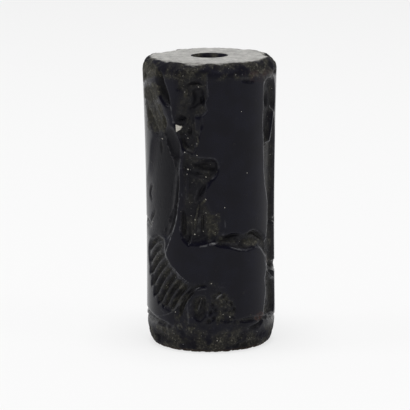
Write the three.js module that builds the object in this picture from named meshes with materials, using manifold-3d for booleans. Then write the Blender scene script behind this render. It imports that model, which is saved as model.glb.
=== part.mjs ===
// A carved cylinder seal: a small spool of dark hard stone, drilled from end to end for a cord,
// with a frieze of figures cut into its wall. Rolled over wet clay, the frieze prints in relief.
// Millimetres, +Z up, the seal standing on its foot with the middle of its front towards -Y.

import * as THREE from 'three';
import { mergeVertices } from 'three/addons/utils/BufferGeometryUtils.js';
import Module from 'manifold-3d';

const wasm = await Module();
wasm.setup();

// --- the turned stone -------------------------------------------------------------------------

const HEIGHT = 25;
const FOOT_RADIUS = 5.645;
const WAIST_RADIUS = 5.55;
const TOP_RADIUS = 5.8;
const FOOT_EDGE = { inward: 0.74, rise: 3.15, steps: 4 };
const TOP_EDGE = { inward: 0.78, rise: 1.1, steps: 3 };
const WALL_STEPS = 4;
const BORE_RADIUS = 1.5;
const BORE_LIP = { outward: 0.1, rise: 0.45 };
const COLUMNS = 48;

// --- the cutter's depths ----------------------------------------------------------------------

const FIGURE_DEPTH = 0.46;
const GARMENT_DEPTH = 0.24;
const OUTLINE_STEP = 0.75;

const STONE = { color: 0x1f1e24, roughness: 0.32, metalness: 0 };

// Radius of the wall before its ends were rounded: a parabola through foot, waist and top.
function wallRadius(up) {
  const part = up / HEIGHT;
  const curve = 2 * (FOOT_RADIUS + TOP_RADIUS - 2 * WAIST_RADIUS);
  const slope = TOP_RADIUS - FOOT_RADIUS - curve;
  return FOOT_RADIUS + slope * part + curve * part * part;
}

// How far a worn edge has drawn in, at a given distance from its end face.
function edgeLoss(edge, fromEnd) {
  if (fromEnd >= edge.rise) return 0;
  const part = 1 - fromEnd / edge.rise;
  return edge.inward * (1 - Math.sqrt(1 - part * part));
}

function skinRadius(up) {
  return wallRadius(up) - edgeLoss(FOOT_EDGE, up) - edgeLoss(TOP_EDGE, HEIGHT - up);
}

// The heights at which the wall has a ring of corners: close together round the two worn edges.
function wallHeights() {
  const heights = [];
  for (let i = 0; i <= FOOT_EDGE.steps; i += 1) {
    heights.push(FOOT_EDGE.rise * (1 - Math.cos((i / FOOT_EDGE.steps) * (Math.PI / 2))));
  }
  const bottom = FOOT_EDGE.rise;
  const top = HEIGHT - TOP_EDGE.rise;
  for (let i = 1; i < WALL_STEPS; i += 1) {
    heights.push(bottom + ((top - bottom) * i) / WALL_STEPS);
  }
  for (let i = TOP_EDGE.steps; i >= 0; i -= 1) {
    heights.push(HEIGHT - TOP_EDGE.rise * (1 - Math.cos((i / TOP_EDGE.steps) * (Math.PI / 2))));
  }
  return heights;
}

// --- solids -----------------------------------------------------------------------------------

function solid(geometry) {
  const bare = geometry.clone();
  bare.deleteAttribute('normal');
  bare.deleteAttribute('uv');
  const merged = mergeVertices(bare, 1e-5);
  return new wasm.Manifold(new wasm.Mesh({
    numProp: 3,
    vertProperties: new Float32Array(merged.attributes.position.array),
    triVerts: new Uint32Array(merged.index.array),
  }));
}

function turned(profile) {
  const points = profile.map(([radius, up]) => new THREE.Vector2(radius, up));
  const lathe = new THREE.LatheGeometry(points, COLUMNS);
  lathe.rotateX(Math.PI / 2);
  return solid(lathe);
}

// The blank seal, with its cord bore and the bore's worn lips.
function blankStone() {
  const wall = wallHeights().map((up) => [skinRadius(up), up]);
  const mouth = BORE_RADIUS + BORE_LIP.outward;
  return turned([
    [mouth, 0],
    ...wall,
    [mouth, HEIGHT],
    [BORE_RADIUS, HEIGHT - BORE_LIP.rise],
    [BORE_RADIUS, BORE_LIP.rise],
    [mouth, 0],
  ]);
}

// What is left when the whole wall is cut back by one depth.
function core(depth) {
  const wall = wallHeights().map((up) => [skinRadius(up) - depth, up]);
  wall[0][1] = -1;
  wall[wall.length - 1][1] = HEIGHT + 1;
  return turned([[0, -1], ...wall, [0, HEIGHT + 1]]);
}

// Bends a flat drawing round the stone. A place on the wall is [across, up]: across runs round
// the waist from the middle of the front, to the right as seen from outside.
function wrapPoint(across, up, radius) {
  const angle = across / WAIST_RADIUS;
  return new THREE.Vector3(radius * Math.sin(angle), -radius * Math.cos(angle), up);
}

function wrap(geometry, radiusOf) {
  const places = geometry.attributes.position;
  for (let i = 0; i < places.count; i += 1) {
    const [across, up, out] = [places.getX(i), places.getY(i), places.getZ(i)];
    const spot = wrapPoint(across, up, radiusOf(up, out));
    places.setXYZ(i, spot.x, spot.y, spot.z);
  }
  return geometry;
}

// A smooth closed line through a few corner points.
function smoothOutline(corners) {
  const points = corners.map(([across, up]) => new THREE.Vector3(across, up, 0));
  const line = new THREE.CatmullRomCurve3(points, true, 'centripetal');
  const count = Math.round(line.getLength() / OUTLINE_STEP);
  return new THREE.Shape(line.getSpacedPoints(count).slice(0, count));
}

// A block standing straight out through the wall over an outlined area.
function outlinedBlock(corners) {
  const flat = new THREE.ExtrudeGeometry(smoothOutline(corners), { depth: 1, bevelEnabled: false });
  return solid(wrap(flat, (up, out) => WAIST_RADIUS * (0.5 + 1.5 * out)));
}

// A stroke of the graver: widest and deepest in the middle, running out at both ends.
function stroke({ path, width, depth, sides = 6, rings = 5 }) {
  const profile = [];
  for (let i = 0; i <= rings; i += 1) {
    const part = i / rings;
    profile.push(new THREE.Vector2(Math.sin(Math.PI * part) ** 0.6, part));
  }
  profile[0].x = 0;
  profile[rings].x = 0;
  const spindle = new THREE.LatheGeometry(profile, sides);
  const route = new THREE.CatmullRomCurve3(path.map(([across, up]) => new THREE.Vector3(across, up, 0)));
  const places = spindle.attributes.position;
  for (let i = 0; i < places.count; i += 1) {
    const part = places.getY(i);
    const middle = route.getPointAt(part);
    const ahead = route.getTangentAt(part);
    const side = (places.getX(i) * width) / 2;
    places.setXYZ(i, middle.x + ahead.y * side, middle.y - ahead.x * side, places.getZ(i) * depth);
  }
  return solid(wrap(spindle, (up, out) => skinRadius(Math.min(Math.max(up, 0), HEIGHT)) + out));
}

// A round hollow made with a ball-ended drill.
function drilled({ at, width, height = width, depth }) {
  const ball = new THREE.SphereGeometry(1, 8, 6);
  ball.rotateX(Math.PI / 2);
  ball.scale(width / 2, height / 2, depth);
  ball.translate(at[0], at[1], 0);
  return solid(wrap(ball, (up, out) => skinRadius(up) + out));
}

// A flake struck off an end of the seal.
function chip({ at, size, turn }) {
  const flake = new THREE.IcosahedronGeometry(1, 0);
  flake.rotateZ(turn);
  flake.scale(...size);
  flake.translate(at[0], 0, 0);
  return solid(wrap(flake.translate(0, at[1], at[2]), (up, out) => WAIST_RADIUS + out));
}

// --- the frieze -------------------------------------------------------------------------------

// The worshipper in the middle of the front: crowned head, raised hand and long robe, one sunk shape.
const WORSHIPPER = [
  [[-2.8, 23.9], [-1.4, 24.1], [-0.25, 23.9], [-0.2, 22.2], [-0.4, 21.0], [-0.8, 19.9],
    [-1.0, 18.2], [-1.5, 17.2], [-2.3, 17.8], [-3.1, 19.4], [-3.25, 20.7], [-2.75, 22.3]],
  [[-2.3, 17.4], [-0.9, 17.1], [0.2, 16.9], [0.65, 16.3], [0.55, 15.5], [0.1, 15.1],
    [-0.15, 14.3], [-0.3, 13.4], [0.1, 12.2], [0.3, 10.9], [0.1, 9.7], [-1.3, 9.4],
    [-2.5, 9.7], [-3.0, 10.6], [-2.9, 12.4], [-2.75, 14.2], [-2.5, 15.8]],
];
const CROWN_AND_FACE = [
  { at: [-1.15, 22.0], width: 1.5, height: 1.9, depth: 0.78 },
  { at: [-1.9, 20.6], width: 1.3, height: 2.2, depth: 0.66 },
];
const ROBE_FOLDS = { across: [-2.4, -1.45, -0.5], from: 9.8, to: 15.0, lean: 0.3, width: 0.7, depth: 0.7 };

// The low bench between the two tall figures.
const BENCH = [
  [0.3, 9.5], [0.5, 10.5], [1.4, 10.35], [2.8, 10.3], [4.2, 10.3], [5.2, 9.9], [5.9, 9.2],
  [6.2, 8.2], [5.7, 7.9], [5.2, 8.5], [4.5, 9.0], [3.0, 9.0], [1.8, 9.35],
];

// The attendant on the right, in a long garment, with a forearm held across the chest.
const ATTENDANT = [
  [5.2, 22.9], [5.25, 20.5], [5.25, 19], [5.45, 17], [5.5, 15], [5.95, 13.2], [6.15, 12],
  [5.95, 10.2], [5.85, 9.0], [5.95, 7.0], [5.85, 5.2], [5.5, 3.0], [6.6, 2.6], [7.7, 3.2],
  [7.9, 7], [7.8, 11], [8.0, 15], [8.1, 17.8], [7.5, 19.6], [7.6, 21.6], [7.0, 23.1], [6.0, 23.4],
];

const ATTENDANT_HEAD = { at: [6.5, 21.4], width: 1.7, height: 2.1, depth: 0.8 };
const ATTENDANT_FOLDS = { across: [6.3, 7.15], from: 3.2, to: 10.0, lean: 0.2, width: 0.6, depth: 0.68 };

// The plain hanging that fills the left of the front, cut back only a little.
const HANGING = [
  [-2.55, 17.6], [-2.75, 15.8], [-3.1, 13.8], [-3.25, 12.4], [-3.5, 11.0], [-4.2, 9.9],
  [-6.2, 9.5], [-9.4, 10.2], [-9.6, 12.5], [-8.0, 14.2], [-6.6, 15.6], [-6.2, 17.9], [-4.4, 18.2],
];

// The crested bird behind the worshipper's head.
const BIRD = [
  [-4.5, 23.7], [-4.0, 22.7], [-3.7, 21.4], [-3.75, 19.6], [-4.0, 18.6], [-5.0, 18.3],
  [-6.0, 19.4], [-6.5, 21.0], [-6.4, 22.6], [-5.4, 23.0],
];

// The winged beast in the lower band. Its tail feathers fan out on the front, from a round rump;
// its body, wing, neck and legs run on behind.
const FEATHERS = {
  count: 8, rump: [-1.0, 9.0], rumpRadius: 3.5, startTurns: [172, 260], strokeTurns: [203, 246],
  length: 3.3, width: 0.7, depth: 0.38,
};
const BEAST_BODY = [
  [-9.0, 8.2], [-8.9, 6.0], [-9.9, 5.0], [-12.0, 5.2], [-14.4, 4.9], [-15.3, 6.2],
  [-15.2, 8.6], [-14.5, 9.4], [-13.0, 8.2], [-11.0, 8.6],
];
const BEAST_LEGS = { across: [-9.6, -10.9, -13.6, -15.0], top: 5.6, foot: 2.9, lean: 0.5 };
const BEAST_WING = { count: 4, root: [-12.6, 8.6], reach: 3.6, turns: [70, 25] };
const BEAST_HEAD = { at: [-15.7, 10.2], width: 1.9, height: 1.7, depth: 0.5 };

// The raised paw under the feathers: an arch with two claws inside it.
const PAW = [
  { path: [[-2.15, 2.7], [-2.1, 4.4], [-1.5, 5.5], [-0.4, 5.6]], width: 0.75, depth: 0.36 },
  { path: [[-1.25, 4.7], [-1.05, 3.8], [-0.75, 3.1]], width: 0.6, depth: 0.34 },
  { path: [[-0.3, 5.0], [-0.15, 4.0], [-0.3, 3.0]], width: 0.6, depth: 0.3 },
];

// The line that the figures stand on, cut once round and never quite level.
const GROUND_LINE = { up: 2.55, sway: 0.28, count: 6, width: 0.62, depth: 0.26 };

// Smaller strokes: folds, fingers, sleeves and hems.
const DETAILS = [
  { path: [[5.9, 7.7], [7.3, 6.9], [9.4, 6.5]], width: 1.5, depth: 0.52 },
  { path: [[6.3, 10.9], [7.6, 10.8], [8.7, 10.7]], width: 0.5, depth: 0.62 },
  { path: [[5.9, 17.6], [6.6, 18.6], [7.0, 19.9]], width: 0.6, depth: 0.66 },
  { path: [[-4.9, 18.2], [-4.85, 17.4], [-4.8, 16.7]], width: 0.45, depth: 0.4 },
  { path: [[-6.9, 12.9], [-6.9, 13.6], [-6.3, 14.2]], width: 0.45, depth: 0.36 },
  { path: [[-7.7, 10.2], [-6.9, 10.9], [-6.2, 11.6]], width: 0.5, depth: 0.36 },
  { path: [[-2.1, 16.3], [-0.8, 16.45], [0.4, 16.3]], width: 0.8, depth: 0.7 },
  { path: [[-5.7, 18.9], [-5.0, 20.4], [-4.6, 22.4]], width: 1.3, depth: 0.74 },
];

// Behind: a second attendant, a crescent over a star, and a plain staff between them.
const SECOND_ATTENDANT = [
  [12.0, 22.6], [11.3, 21.2], [11.6, 19.4], [10.9, 17.8], [11.0, 15.0], [11.2, 11.0],
  [10.9, 6.5], [10.6, 3.2], [12.4, 2.9], [14.2, 3.2], [13.9, 7.0], [13.5, 11.5],
  [13.8, 15.5], [13.6, 18.4], [12.9, 19.6], [13.2, 21.4],
];
const SECOND_HEAD = { at: [12.5, 21.2], width: 1.6, height: 2.0, depth: 0.8 };
const SECOND_FOLDS = {
  across: [11.3, 12.4, 13.4], from: 3.6, to: 14.5, lean: 0.1, width: 0.7, depth: 0.68,
};
const CRESCENT = { middle: [-12.0, 20.6], radius: 1.6, from: 200, to: 340, width: 0.9, depth: 0.45 };
const STAR = { middle: [-12.0, 15.2], rays: 8, length: 1.7, width: 0.5, depth: 0.36 };
const STAFF = { across: 16.2, from: 3.0, to: 20.5, width: 0.7, depth: 0.4, knobs: [20.9, 17.4, 12.0] };

// Flakes lost from the two ends: [across, up, out], size and turn.
const CHIPS = [
  { at: [5.2, 24.6, 0.35], size: [2.0, 1.0, 0.42], turn: 0.2 },
  { at: [1.2, 25.1, 0.25], size: [1.3, 0.6, 0.4], turn: 0.5 },
  { at: [-1.6, 25.2, 0.2], size: [1.5, 0.7, 0.45], turn: 0.1 },
  { at: [-7.0, 24.5, 0.4], size: [1.7, 0.9, 0.45], turn: -0.3 },
  { at: [9.4, 25.0, 0.3], size: [1.4, 0.8, 0.5], turn: 0.4 },
  { at: [-12.5, 25.0, 0.3], size: [1.8, 0.7, 0.45], turn: 0.0 },
  { at: [14.2, 0.2, -0.2], size: [1.6, 0.8, 0.5], turn: 0.3 },
  { at: [3.4, 0.1, -0.3], size: [1.9, 0.7, 0.4], turn: 0.1 },
];

// --- cutting ----------------------------------------------------------------------------------

const { degToRad, lerp } = THREE.MathUtils;

function away([across, up], turn, distance) {
  const angle = degToRad(turn);
  return [across + distance * Math.cos(angle), up + distance * Math.sin(angle)];
}

function featherStrokes() {
  const { count, rump, rumpRadius, startTurns, strokeTurns, length, width, depth } = FEATHERS;
  return Array.from({ length: count }, (_, i) => {
    const part = i / (count - 1);
    const start = away(rump, lerp(...startTurns, part), rumpRadius);
    const turn = lerp(...strokeTurns, part);
    return { path: [start, away(start, turn + 3, length / 2), away(start, turn, length)], width, depth };
  });
}

function robeFolds({ across, from, to, lean, width, depth }) {
  return across.map((place) => ({ path: [[place, from], [place + lean, to]], width, depth, sides: 4 }));
}

function beastStrokes() {
  const { across, top, foot, lean } = BEAST_LEGS;
  const legs = across.map((place) => ({
    path: [[place, top], [place - lean, (top + foot) / 2], [place, foot]], width: 0.9, depth: 0.45,
  }));
  const { count, root, reach, turns } = BEAST_WING;
  const wing = Array.from({ length: count }, (_, i) => {
    const turn = lerp(...turns, i / (count - 1));
    return { path: [root, away(root, turn + 6, reach / 2), away(root, turn, reach)], width: 0.8, depth: 0.4 };
  });
  return [...legs, ...wing];
}

function groundStrokes() {
  const { up, sway, count, width, depth } = GROUND_LINE;
  const round = 2 * Math.PI * WAIST_RADIUS;
  return Array.from({ length: count }, (_, i) => {
    const start = (i * round) / count;
    const path = [0, 0.5, 1].map((part) => {
      const across = start + part * (round / count) * 1.04;
      return [across, up + sway * Math.sin((across / WAIST_RADIUS) * 3)];
    });
    return { path, width, depth, sides: 4, rings: 4 };
  });
}

function starStrokes() {
  const { middle, rays, length, width, depth } = STAR;
  return Array.from({ length: rays }, (_, i) => {
    const turn = (360 * i) / rays + 10;
    const start = away(middle, turn, 0.35);
    return { path: [start, away(middle, turn, length)], width, depth, sides: 4, rings: 4 };
  });
}

function crescentStroke() {
  const { middle, radius, from, to, width, depth } = CRESCENT;
  const path = [0, 0.25, 0.5, 0.75, 1].map((part) => away(middle, lerp(from, to, part), radius));
  return { path, width, depth, rings: 7 };
}

function cutAtDepth(shapes, depth) {
  const blocks = shapes.map(outlinedBlock).reduce((joined, block) => joined.add(block));
  return blocks.subtract(core(depth));
}

function carvedStone() {
  const strokes = [
    ...featherStrokes(),
    ...PAW,
    ...[ROBE_FOLDS, ATTENDANT_FOLDS, SECOND_FOLDS].flatMap(robeFolds),
    ...groundStrokes(),
    ...DETAILS,
    ...beastStrokes(),
    ...starStrokes(),
    crescentStroke(),
    { path: [[STAFF.across, STAFF.from], [STAFF.across, STAFF.to]], width: STAFF.width, depth: STAFF.depth },
  ];
  const knobs = STAFF.knobs.map((up) => drilled({ at: [STAFF.across, up], width: 1.1, depth: 0.5 }));
  const cutters = [
    cutAtDepth([...WORSHIPPER, BENCH, ATTENDANT, BIRD, BEAST_BODY, SECOND_ATTENDANT], FIGURE_DEPTH),
    cutAtDepth([HANGING], GARMENT_DEPTH),
    ...strokes.map(stroke),
    ...knobs,
    ...[...CROWN_AND_FACE, ATTENDANT_HEAD, SECOND_HEAD, BEAST_HEAD].map(drilled),
    ...CHIPS.map(chip),
  ];
  return cutters.reduce((stone, cutter) => stone.subtract(cutter), blankStone());
}

// --- the part ---------------------------------------------------------------------------------

function meshFrom(name, body, finish) {
  const { vertProperties, triVerts } = body.getMesh();
  const geometry = new THREE.BufferGeometry();
  geometry.setAttribute('position', new THREE.BufferAttribute(vertProperties, 3));
  geometry.setIndex(new THREE.BufferAttribute(triVerts, 1));
  const mesh = new THREE.Mesh(geometry, new THREE.MeshStandardMaterial(finish));
  mesh.name = name;
  return mesh;
}

const seal = new THREE.Group();
seal.add(meshFrom('seal_stone', carvedStone(), STONE));

export default seal;
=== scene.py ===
# A carved cylinder seal, standing on its foot. Metres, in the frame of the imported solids.

import math

import bpy
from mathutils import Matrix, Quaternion, Vector


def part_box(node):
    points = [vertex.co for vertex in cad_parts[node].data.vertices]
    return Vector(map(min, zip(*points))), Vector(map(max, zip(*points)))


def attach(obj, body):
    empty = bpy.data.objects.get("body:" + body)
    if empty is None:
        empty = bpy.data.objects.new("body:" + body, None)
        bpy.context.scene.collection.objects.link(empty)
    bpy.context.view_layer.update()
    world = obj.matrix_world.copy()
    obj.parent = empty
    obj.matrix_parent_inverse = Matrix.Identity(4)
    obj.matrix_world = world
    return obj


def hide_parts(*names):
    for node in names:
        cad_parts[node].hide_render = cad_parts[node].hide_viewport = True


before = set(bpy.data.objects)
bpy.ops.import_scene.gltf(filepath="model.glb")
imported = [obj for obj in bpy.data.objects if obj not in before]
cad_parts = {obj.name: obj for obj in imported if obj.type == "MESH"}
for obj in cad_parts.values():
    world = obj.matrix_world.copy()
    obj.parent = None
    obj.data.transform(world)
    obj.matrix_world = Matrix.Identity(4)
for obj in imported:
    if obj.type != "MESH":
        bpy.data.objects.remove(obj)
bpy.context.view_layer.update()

# ---------------------------------------------------------------------------------------------
# The turned stone. A spool of blue-black hard stone, ground on a lathe, a little waisted, its two
# edges worn round and its cord bore drilled from end to end. This sets out its closed section.

MM = 0.001
stone_low, stone_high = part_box("seal_stone")
HEIGHT = (stone_high[2] - stone_low[2]) / MM
WIDEST = (stone_high[0] - stone_low[0]) / 2 / MM
FOOT_RADIUS = 5.645
WAIST_RADIUS = 5.55
TOP_RADIUS = 5.8
FOOT_EDGE = {"inward": 0.74, "rise": 3.15}
TOP_EDGE = {"inward": 0.78, "rise": 1.1}
BORE_RADIUS = 1.5
BORE_LIP = {"outward": 0.1, "rise": 0.45}
WALL_ROWS = 240
END_ROWS = 18
BORE_ROWS = 10
BORE_MARK = 4  # the bore is drawn this far past the top, out of reach of the cuts
COLUMNS = 340
FRONT_SHARE = 0.42


def wall_radius(up):
    part = up / HEIGHT
    curve = 2 * (FOOT_RADIUS + TOP_RADIUS - 2 * WAIST_RADIUS)
    slope = TOP_RADIUS - FOOT_RADIUS - curve
    return FOOT_RADIUS + slope * part + curve * part * part


def edge_loss(edge, from_end):
    part = 1 - min(from_end / edge["rise"], 1)
    return edge["inward"] * (1 - math.sqrt(1 - part * part))


def skin_radius(up):
    radius = wall_radius(up) - edge_loss(FOOT_EDGE, up) - edge_loss(TOP_EDGE, HEIGHT - up)
    return min(radius, WIDEST)


def evenly(points, count):
    """Spreads a number of points evenly along a line of points."""
    lengths = [0.0]
    for a, b in zip(points, points[1:]):
        lengths.append(lengths[-1] + math.dist(a, b))
    spread, j = [], 0
    for i in range(count):
        want = lengths[-1] * i / (count - 1)
        while j < len(points) - 2 and lengths[j + 1] < want:
            j += 1
        part = (want - lengths[j]) / (lengths[j + 1] - lengths[j])
        spread.append(tuple(a + (b - a) * part for a, b in zip(points[j], points[j + 1])))
    return spread


def section_line():
    """The closed section as (radius, up, drawn_up): drawn_up runs on over the end faces."""
    steps = 600
    ups = [HEIGHT * (1 - math.cos(math.pi * i / steps)) / 2 for i in range(steps + 1)]
    wall = evenly([(skin_radius(up), up) for up in ups], WALL_ROWS)
    mouth = BORE_RADIUS + BORE_LIP["outward"]
    corners = [
        (mouth, HEIGHT),
        (BORE_RADIUS, HEIGHT - BORE_LIP["rise"]),
        (BORE_RADIUS, BORE_LIP["rise"]),
        (mouth, 0),
    ]
    top_face = evenly([wall[-1], corners[0]], END_ROWS)[1:-1]
    bore = [corners[0], *evenly(corners[1:3], BORE_ROWS), corners[3]]
    foot_face = evenly([corners[3], wall[0]], END_ROWS)[1:-1]
    line = [(r, z, z) for r, z in wall]
    line += [(r, z, HEIGHT + wall[-1][0] - r) for r, z in top_face]
    line += [(r, z, HEIGHT + BORE_MARK) for r, z in bore]
    line += [(r, z, r - wall[0][0]) for r, z in foot_face]
    return line


def in_scene(name, data):
    made = bpy.data.objects.new(name, data)
    bpy.context.scene.collection.objects.link(made)
    return made


def meshed(name, points, edges=(), faces=()):
    mesh = bpy.data.meshes.new(name)
    mesh.from_pydata(points, edges, faces)
    return in_scene(name, mesh)


def set_values(drawn, name, kind, domain, values):
    layer = drawn.data.attributes.new(name, kind, domain)
    layer.data.foreach_set("vector" if kind == "FLOAT_VECTOR" else "value", values)


section = section_line()
rows = len(section)
# The names with drawn_ are drawings: they only feed a node tree and are removed again after it.
drawn_section = meshed(
    "drawn_section", [(r, z, 0) for r, z, _ in section], [(i, (i + 1) % rows) for i in range(rows)],
)
outward = []
for i in range(rows):
    ahead = (Vector(section[(i + 1) % rows][:2]) - Vector(section[i - 1][:2])).normalized()
    outward += [ahead.y, -ahead.x, 0.0]
set_values(drawn_section, "section", "FLOAT_VECTOR", "POINT", [v for r, z, _ in section for v in (r, z, 0)])
set_values(drawn_section, "outward", "FLOAT_VECTOR", "POINT", outward)
set_values(drawn_section, "drawn_up", "FLOAT", "POINT", [s for _, _, s in section])

# ---------------------------------------------------------------------------------------------
# The frieze, cut into the wall with gravers and ball drills, so that it prints in relief on clay.
# It is drawn flat in millimetres: across runs round the waist from the middle of the front, to the
# right as seen from outside, and up from the foot. Each cut is one closed outline with its depth.

cuts = []


def smooth_line(corners, closed, step=0.12):
    """A smooth line through a few corners, as evenly spaced points."""
    count = len(corners)
    line = []
    spans = count if closed else count - 1

    def corner(i):
        return Vector(corners[i % count] if closed else corners[min(max(i, 0), count - 1)])

    for i in range(spans):
        a, b, c, d = corner(i - 1), corner(i), corner(i + 1), corner(i + 2)
        pieces = max(2, round((c - b).length / step))
        for j in range(pieces):
            t = j / pieces
            line.append(
                b + (c - a) * (t / 2) + (a * 2 - b * 5 + c * 4 - d) * (t * t / 2)
                + (b * 3 - a - c * 3 + d) * (t * t * t / 2)
            )
    if not closed:
        line.append(corner(count - 1))
    return line


def cut(outline, depth, reach, steep, earth=0.0, keep=0.0, crust=0.0, rust=0.0, lean=0.0):
    middle = sum(spot[0] for spot in outline) / len(outline)
    cuts.append({
        "outline": outline, "depth": depth - lean * middle, "lean": lean, "reach": reach, "steep": steep,
        "earth": earth, "keep": keep, "crust": crust, "rust": rust,
    })


def sink(*corners, depth, reach=0.3, steep=2.2, earth=0.4, lean=0.0):
    """Cuts an outlined area back to a floor, level or getting deeper to the right by lean."""
    cut(smooth_line(corners, True), depth, reach, steep, earth, lean=lean)


def leave(*corners, share=0.8, reach=0.2):
    """Leaves an outlined part of what was cut so far standing again."""
    cut(smooth_line(corners, True), 0.0, reach, 1.5, keep=share)


def smear(*corners, crust=0.0, rust=0.0, reach=0.4):
    """Dried earth or a rusty stain on an outlined area; nothing is cut away."""
    cut(smooth_line(corners, True), 0.0, reach, 1.2, crust=crust, rust=rust)


def ribbon(corners, width, blunt):
    """The outline of a stroke that runs out at both ends."""
    middle = smooth_line(corners, False)
    left, right = [], []
    for i, spot in enumerate(middle):
        ahead = (middle[min(i + 1, len(middle) - 1)] - middle[max(i - 1, 0)]).normalized()
        half = width / 2 * max(math.sin(math.pi * i / (len(middle) - 1)), 0.02) ** blunt
        side = Vector((-ahead.y, ahead.x)) * half
        left.append(spot + side)
        right.append(spot - side)
    return left + right[::-1]


def engrave(*corners, width, depth, steep=1.5, blunt=0.6, earth=0.5):
    """One stroke of the graver."""
    cut(ribbon(corners, width, blunt), depth, width / 2, steep, earth)


def rib(*corners, width, share, crust=0.0, blunt=0.4):
    """A narrow raised line left between cuts."""
    cut(ribbon(corners, width, blunt), 0.0, width / 2, 1.4, keep=share, crust=crust)


def drill(across, up, width, depth, height=None, turn=0.0, earth=0.5):
    """A round hollow from the ball drill."""
    tall = height or width
    rim = []
    for i in range(28):
        angle = 2 * math.pi * i / 28
        x, y = math.cos(angle) * width / 2, math.sin(angle) * tall / 2
        lean = math.radians(turn)
        rim.append(Vector((
            across + x * math.cos(lean) - y * math.sin(lean),
            up + x * math.sin(lean) + y * math.cos(lean),
        )))
    cut(rim, depth, min(width, tall) / 2, 2.0, earth)


def away(start, turn, distance):
    angle = math.radians(turn)
    return (start[0] + distance * math.cos(angle), start[1] + distance * math.sin(angle))


FIGURE_DEPTH = 0.46
GARMENT_DEPTH = 0.24

# The worshipper: crowned head, one raised hand and a long robe that hangs in folds.
sink((-2.9, 24.3), (-1.6, 24.5), (-0.25, 24.3), (-0.16, 23.0), (-0.12, 22.2), (-0.38, 21.7), (-0.18, 21.1),
     (-0.58, 20.6), (-0.56, 19.9), (-0.75, 19.3), (-0.95, 18.6), (-1.1, 18.0), (-1.5, 17.3), (-2.2, 17.5),
     (-2.75, 18.4), (-3.15, 19.4), (-3.25, 20.3), (-3.1, 21.1), (-2.95, 22.1), (-2.9, 23.3),
     depth=0.4, reach=0.55, steep=1.8)
sink((-1.8, 22.8), (-1.1, 23.2), (-0.4, 23.0), (-0.3, 22.1), (-0.55, 21.3), (-1.4, 20.8), (-2.0, 20.9),
     (-2.1, 21.4), (-1.75, 21.9), depth=0.72, reach=0.6, steep=1.6, earth=0.1)
drill(-0.75, 21.9, 0.8, 0.86, height=1.1, earth=0.0)
leave((-2.9, 22.7), (-2.2, 22.9), (-1.85, 22.6), (-1.75, 22.2), (-2.2, 21.6), (-2.25, 20.8), (-2.6, 20.6),
      (-3.0, 20.7), (-2.9, 21.5), share=0.45)
smear((-2.6, 22.9), (-2.1, 23.0), (-1.7, 22.6), (-1.75, 22.1), (-2.25, 21.7), (-2.1, 21.2), (-2.35, 20.7),
      (-2.75, 20.5), (-2.6, 21.2), (-2.85, 21.6), (-2.5, 22.2), crust=0.95, reach=0.45)
smear((-2.9, 23.9), (-2.2, 24.4), (-1.2, 24.5), (-1.3, 23.9), (-2.0, 23.4), (-2.8, 23.2), crust=0.6,
      reach=0.3)
engrave((-2.3, 23.1), (-1.1, 23.35), (-0.5, 23.0), width=0.4, depth=0.85, earth=0.2)
drill(-2.5, 20.25, 1.0, 0.75, height=0.5, turn=8, earth=0.0)
leave((-1.4, 20.65), (-0.8, 20.65), (-0.62, 19.95), (-0.8, 19.35), (-1.3, 19.1), (-1.48, 19.9),
      share=0.8, reach=0.35)
sink((-1.75, 20.1), (-1.5, 19.6), (-1.45, 19.0), (-1.7, 18.6), (-2.1, 18.8), (-2.25, 19.4), depth=0.62,
     reach=0.4, steep=1.6, earth=0.2)
rib((-1.8, 20.3), (-2.35, 19.55), (-2.75, 19.15), (-2.4, 18.3), width=0.26, share=0.8, crust=0.4)
rib((-1.5, 18.9), (-1.15, 18.9), (-1.0, 18.3), (-1.3, 17.8), width=0.3, share=0.6, crust=0.9)
engrave((-2.6, 18.9), (-2.3, 18.1), (-1.7, 17.5), width=0.45, depth=0.6)

sink((-2.3, 17.4), (-1.2, 17.2), (0.1, 17.02), (0.62, 16.75), (0.8, 16.2), (0.52, 15.5), (0.12, 15.1),
     (-0.7, 15.2), (-1.8, 15.4), (-2.5, 16.0), depth=0.38, reach=0.42, steep=1.9)
sink((-1.7, 16.75), (0.45, 16.8), (0.55, 15.75), (-0.65, 15.85), (-1.7, 16.25), depth=0.55, reach=0.4,
     earth=0.2)
engrave((-1.5, 16.4), (-0.5, 16.5), (0.35, 16.55), width=0.34, depth=0.8, earth=0.0)
engrave((-1.6, 15.75), (-1.1, 15.65), (-0.6, 15.45), width=0.3, depth=0.7, earth=0.0)
rib((-1.9, 17.0), (-0.6, 16.98), (0.4, 16.85), (0.68, 16.3), (0.5, 15.7), (0.1, 15.3), width=0.24,
    share=0.35, crust=0.3)
sink((-2.5, 16.0), (-2.45, 14.0), (-2.6, 12.0), (-2.7, 10.5), (-2.2, 9.6), (-1.2, 9.5), (-0.4, 9.7),
     (0.4, 10.1), (0.6, 11.3), (0.1, 12.6), (-0.35, 13.6), (-0.2, 14.4), (0.1, 15.2), (-0.9, 15.7),
     depth=0.36, reach=0.75, steep=1.6)
engrave((-0.3, 14.95), (-0.84, 14.05), (-1.35, 13.1), width=0.7, depth=0.56, earth=0.1)
engrave((-2.45, 12.6), (-2.42, 11.4), (-2.35, 9.9), width=0.65, depth=0.54, earth=0.3)
engrave((-1.95, 11.6), (-1.9, 10.5), (-1.95, 9.4), width=0.5, depth=0.5, earth=0.3)
engrave((-0.75, 12.6), (-0.72, 11.4), (-0.8, 10.0), width=0.7, depth=0.56, earth=0.3)
rib((-2.05, 16.3), (-2.0, 14.8), (-2.05, 13.4), width=0.42, share=0.7, crust=0.15)
rib((-1.0, 13.1), (-1.25, 11.9), (-1.42, 10.1), width=0.45, share=0.8, crust=1.0)
rib((-0.35, 13.6), (-0.6, 13.2), (-0.95, 12.9), width=0.3, share=0.7, crust=0.9)
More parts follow.
